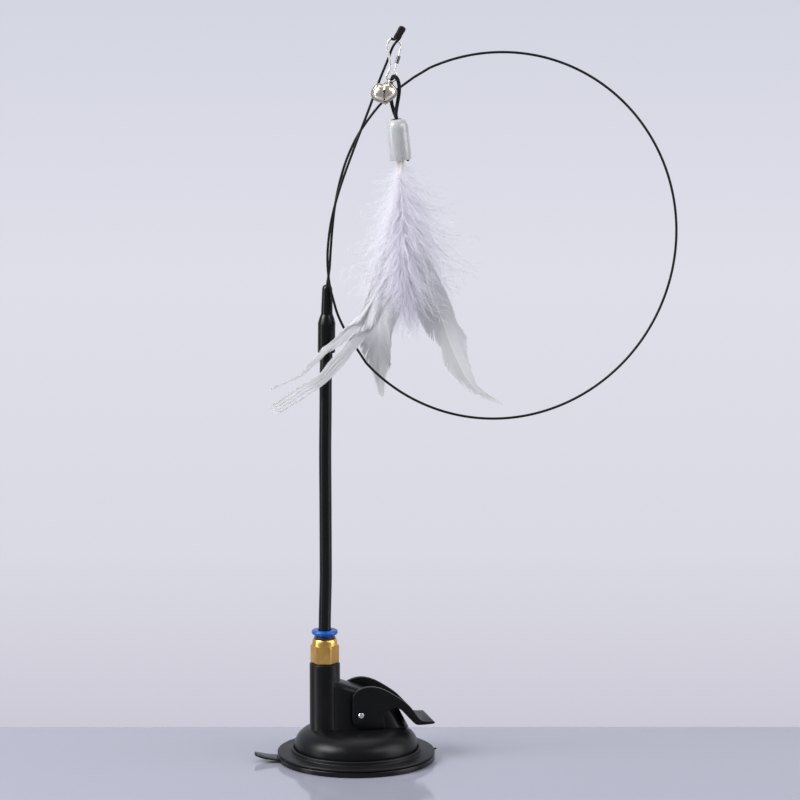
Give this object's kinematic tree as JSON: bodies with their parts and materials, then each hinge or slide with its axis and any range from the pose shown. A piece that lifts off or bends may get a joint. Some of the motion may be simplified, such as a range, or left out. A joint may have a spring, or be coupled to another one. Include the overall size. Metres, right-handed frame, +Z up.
{
  "type": "suction cup cat teaser",
  "caption": "Cat teaser on a lever-locked suction cup: a rod in a push-in fitting carries a springy wire ring whose end holds a clip, a heart bell and a bunch of feathers.",
  "frame": {"origin": "where the rod's axis meets the surface that the gel pad lies on, a point of the pad's flat underside", "axes": "+Z up along the rod, +X from the rod towards the lever's handle, -Y towards the picture's viewer"},
  "size_m": [0.1976, 0.0801, 0.3587],
  "materials": {
    "gel": "glossy smoked gel",
    "rubber": "matte",
    "plastic": "satin moulded",
    "white_plastic": "moulded",
    "steel": "bright",
    "brass": "turned",
    "blue_plastic": "gloss",
    "grey_plastic": "moulded",
    "tube": "extruded",
    "coating": "plastic coated spring wire",
    "nickel": "nickel plated",
    "cord": "braided",
    "clear_rubber": "translucent",
    "feather": "feather",
    "down": "down"
  },
  "bodies": {
    "base": {"gel_pad": "gel", "suction_pad": "rubber", "base_housing": "plastic", "fitting_body": "brass", "seal_ring": "rubber", "guide_sleeve": "grey_plastic"},
    "plunger": {"plunger": "white_plastic", "lever_pin": "steel"},
    "lever": {"lever": "plastic"},
    "collar": {"release_collar": "blue_plastic"},
    "grip": {"grip_ring": "steel"},
    "rod": {"rod": "tube", "rod_boot": "rubber", "wire_ferrule": "steel", "ring_wire": "coating", "end_sleeve": "coating"},
    "clip": {"snap_clip": "steel", "clip_catch": "steel"},
    "bell": {"bell_front": "nickel", "bell_back": "nickel", "bell_link": "steel"},
    "clapper": {"bell_clapper": "steel"},
    "feathers": {"cord_loop": "cord", "feather_cap": "clear_rubber", "left_feather": "feather", "middle_feather": "feather", "right_feather": "feather", "front_plume": "down", "back_plume": "down"}
  },
  "joints": [
    {"name": "plunger_slide", "type": "slide", "parent": "base", "child": "plunger", "axis": [0, 0, 1], "range_m": [-0.0028, 0], "deforming": ["suction_pad", "gel_pad"]},
    {"name": "lever_flip", "type": "hinge", "parent": "plunger", "child": "lever", "pos_m": [0.0155, 0, 0.024], "axis": [0, -1, 0], "range_deg": [0, 90]},
    {"name": "collar_press", "type": "slide", "parent": "base", "child": "collar", "axis": [0, 0, -1], "range_m": [0, 0.001], "stiffness_N_per_m": 400},
    {"name": "rod_turn", "type": "hinge", "parent": "base", "child": "grip", "pos_m": [0, 0, 0], "axis": [0, 0, 1], "continuous": true},
    {"name": "rod_pull", "type": "slide", "parent": "grip", "child": "rod", "axis": [0, 0, 1], "range_m": [0, 0.017]},
    {"name": "clip_swing", "type": "hinge", "parent": "rod", "child": "clip", "pos_m": [0.03075, -0.01436, 0.35191], "axis": [-0.23, -0.9732, 0], "range_deg": [-2, 8]},
    {"name": "bell_swing", "type": "hinge", "parent": "clip", "child": "bell", "pos_m": [0.02891, -0.01392, 0.33207], "axis": [-0.9732, 0.23, 0], "range_deg": [0, 25]},
    {"name": "ball_rattle", "type": "slide", "parent": "bell", "child": "clapper", "axis": [0, 0, 1], "range_m": [-0.0006, 0.0008]},
    {"name": "feather_swing", "type": "hinge", "parent": "clip", "child": "feathers", "pos_m": [0.0305, -0.0143, 0.33371], "axis": [-0.23, -0.9732, 0], "range_deg": [-2, 12]}
  ],
  "couplings": [
    {"joint": "lever_flip", "follows": "plunger_slide", "rad_per_m": -561}
  ]
}
